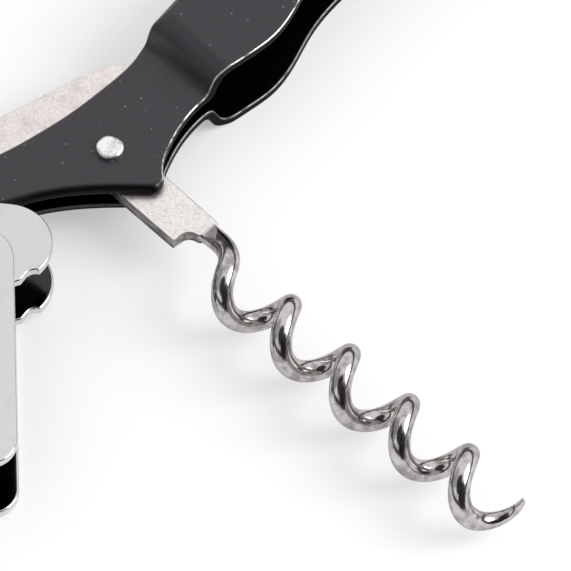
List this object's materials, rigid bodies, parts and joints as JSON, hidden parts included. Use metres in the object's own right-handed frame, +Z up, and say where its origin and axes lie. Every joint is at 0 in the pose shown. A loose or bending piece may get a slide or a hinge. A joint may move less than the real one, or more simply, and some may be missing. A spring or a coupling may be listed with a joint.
{
  "type": "waiter's corkscrew",
  "caption": "Folding waiter's corkscrew: black sheet-steel channel handle, open wire worm, two-step bottle lever and a foil knife folded in the neck.",
  "frame": {"origin": "centre of the grip's flat back wall, the face the tool lies on", "axes": "+X along the grip away from the lever, -Y the way the open worm points, +Z up from the table, square to the handle walls"},
  "size_m": [0.1226, 0.0864, 0.012],
  "materials": {
    "black_coating": "satin black coating on sheet steel",
    "nickel_wire": "polished nickel plate, satin on the flattened tang",
    "bright_rivet": "bright nickel plate",
    "lever_chrome": "bright chrome plate",
    "washer_steel": "plain steel",
    "blade_steel": "satin ground steel"
  },
  "bodies": {
    "handle": {"handle_channel": "black_coating", "worm_rivet": "bright_rivet", "lever_pivot_rivet": "bright_rivet", "lever_washer_front": "washer_steel", "lever_washer_back": "washer_steel", "knife_rivet": "bright_rivet", "knife_washer_front": "washer_steel", "knife_washer_back": "washer_steel"},
    "worm": {"worm": "nickel_wire"},
    "lever_upper": {"lever_upper_link": "lever_chrome", "lever_link_pin": "bright_rivet"},
    "lever_lower": {"lever_lower_link": "lever_chrome"},
    "knife": {"knife_blade": "blade_steel"}
  },
  "joints": [
    {"name": "worm_fold", "type": "hinge", "parent": "handle", "child": "worm", "pos_m": [-0.048, -0.006, 0.006], "axis": [0, 0, 1], "range_deg": [0, 95]},
    {"name": "lever_swing", "type": "hinge", "parent": "handle", "child": "lever_upper", "pos_m": [-0.074, 0.0005, 0.006], "axis": [0, 0, 1], "range_deg": [-60, 8]},
    {"name": "lever_step", "type": "hinge", "parent": "lever_upper", "child": "lever_lower", "pos_m": [-0.0725, -0.008, 0.006], "axis": [0, 0, 1], "range_deg": [-10, 45]},
    {"name": "knife_open", "type": "hinge", "parent": "handle", "child": "knife", "pos_m": [-0.0685, 0.0055, 0.006], "axis": [0, 0, 1], "range_deg": [0, 165]}
  ]
}
